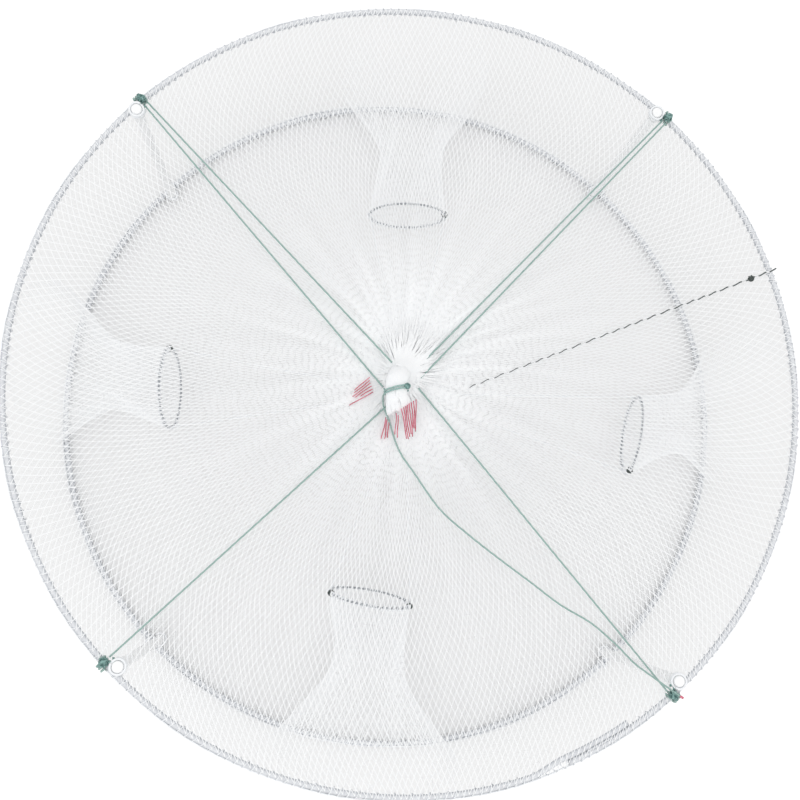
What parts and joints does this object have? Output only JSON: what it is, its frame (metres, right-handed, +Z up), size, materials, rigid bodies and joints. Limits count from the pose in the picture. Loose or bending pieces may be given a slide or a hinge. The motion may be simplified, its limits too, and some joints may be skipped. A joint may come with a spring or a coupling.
{
  "type": "folding shrimp trap",
  "caption": "Round folding trap: wire rings held apart by plastic uprights, white net all round, funnel mouths in the wall and a corded neck on top.",
  "frame": {"origin": "on the ground, in the middle of the lower ring", "axes": "+Z up; +Y towards the mouth at the top of the picture, +X to its right"},
  "size_m": [0.604, 0.604, 0.1989],
  "materials": {
    "wire": "galvanised",
    "throat_wire": "dark coated wire",
    "net": "knotted nylon",
    "string": "twisted nylon",
    "cord": "twisted polyethylene",
    "dark_twine": "twisted nylon",
    "rod": "moulded"
  },
  "bodies": {
    "lower_frame": {"lower_ring": "wire", "floor_net": "net", "floor_gather": "net", "lower_lashing_northeast": "cord", "lower_lashing_northwest": "cord", "lower_lashing_southwest": "cord", "lower_lashing_southeast": "cord", "wall_net_northeast": "net", "wall_net_northwest": "net", "wall_net_southwest": "net", "wall_net_southeast": "net", "funnel_north": "net", "funnel_west": "net", "funnel_south": "net", "funnel_east": "net"},
    "upper_frame": {"upper_ring": "wire", "lap_weld": "wire", "top_net": "net", "neck_bundle": "net", "neck_tie": "cord", "tail_cord": "cord", "seam_cord": "dark_twine", "seam_knot": "dark_twine", "ring_knot_northeast": "cord", "ring_knot_northwest": "cord", "ring_knot_southwest": "cord", "ring_knot_southeast": "cord", "bridle_northwest_a": "cord", "bridle_northwest_b": "cord", "bridle_northeast_a": "cord", "bridle_northeast_b": "cord", "bridle_southwest": "cord", "bridle_southeast": "cord"},
    "throat_stays": {"stay_knot": "string", "stay_north_a": "string", "stay_north_b": "string", "stay_west_a": "string", "stay_west_b": "string", "stay_south_a": "string", "stay_south_b": "string", "stay_east_a": "string", "stay_east_b": "string"},
    "throat_north": {"throat_ring_north": "throat_wire", "throat_knot_north_a": "dark_twine"},
    "throat_west": {"throat_ring_west": "throat_wire", "throat_knot_west_a": "dark_twine"},
    "throat_south": {"throat_ring_south": "throat_wire", "throat_knot_south_a": "dark_twine", "throat_knot_south_b": "dark_twine"},
    "throat_east": {"throat_ring_east": "throat_wire", "throat_knot_east_a": "dark_twine"},
    "northeast_upright": {"upright_northeast": "rod"},
    "northwest_upright": {"upright_northwest": "rod"},
    "southwest_upright": {"upright_southwest": "rod"},
    "southeast_upright": {"upright_southeast": "rod"}
  },
  "joints": [
    {"name": "ring_drop", "type": "slide", "parent": "lower_frame", "child": "upper_frame", "axis": [0, 0, -1], "range_m": [0, 0.142], "deforming": ["wall_net_northeast", "wall_net_northwest", "wall_net_southwest", "wall_net_southeast", "funnel_north", "funnel_west", "funnel_south", "funnel_east"]},
    {"name": "stays_settle", "type": "slide", "parent": "lower_frame", "child": "throat_stays", "axis": [0, 0, -1], "range_m": [0, 0.072]},
    {"name": "throat_north_tip", "type": "hinge", "parent": "throat_stays", "child": "throat_north", "pos_m": [0.00166, 0.15799, 0.0845], "axis": [-0.9999, 0.0105, 0], "range_deg": [0, 94]},
    {"name": "throat_west_tip", "type": "hinge", "parent": "throat_stays", "child": "throat_west", "pos_m": [-0.195, 0.00136, 0.0845], "axis": [-0.007, -1, 0], "range_deg": [0, 85]},
    {"name": "throat_south_tip", "type": "hinge", "parent": "throat_stays", "child": "throat_south", "pos_m": [-0.02911, -0.1685, 0.0845], "axis": [0.9854, -0.1702, 0], "range_deg": [0, 83]},
    {"name": "throat_east_tip", "type": "hinge", "parent": "throat_stays", "child": "throat_east", "pos_m": [0.19627, -0.03284, 0.0845], "axis": [0.165, 0.9863, 0], "range_deg": [0, 97]},
    {"name": "upright_northeast_pull", "type": "slide", "parent": "lower_frame", "child": "northeast_upright", "axis": [0, 0, 1], "range_m": [0, 0.18]},
    {"name": "upright_northwest_pull", "type": "slide", "parent": "lower_frame", "child": "northwest_upright", "axis": [0, 0, 1], "range_m": [0, 0.18]},
    {"name": "upright_southwest_pull", "type": "slide", "parent": "lower_frame", "child": "southwest_upright", "axis": [0, 0, 1], "range_m": [0, 0.18]},
    {"name": "upright_southeast_pull", "type": "slide", "parent": "lower_frame", "child": "southeast_upright", "axis": [0, 0, 1], "range_m": [0, 0.18]}
  ],
  "couplings": [
    {"joint": "stays_settle", "follows": "ring_drop", "ratio": 0.5},
    {"joint": "throat_north_tip", "follows": "ring_drop", "rad_per_m": 11.49},
    {"joint": "throat_west_tip", "follows": "ring_drop", "rad_per_m": 10.32},
    {"joint": "throat_south_tip", "follows": "ring_drop", "rad_per_m": 10.07},
    {"joint": "throat_east_tip", "follows": "ring_drop", "rad_per_m": 11.79}
  ]
}
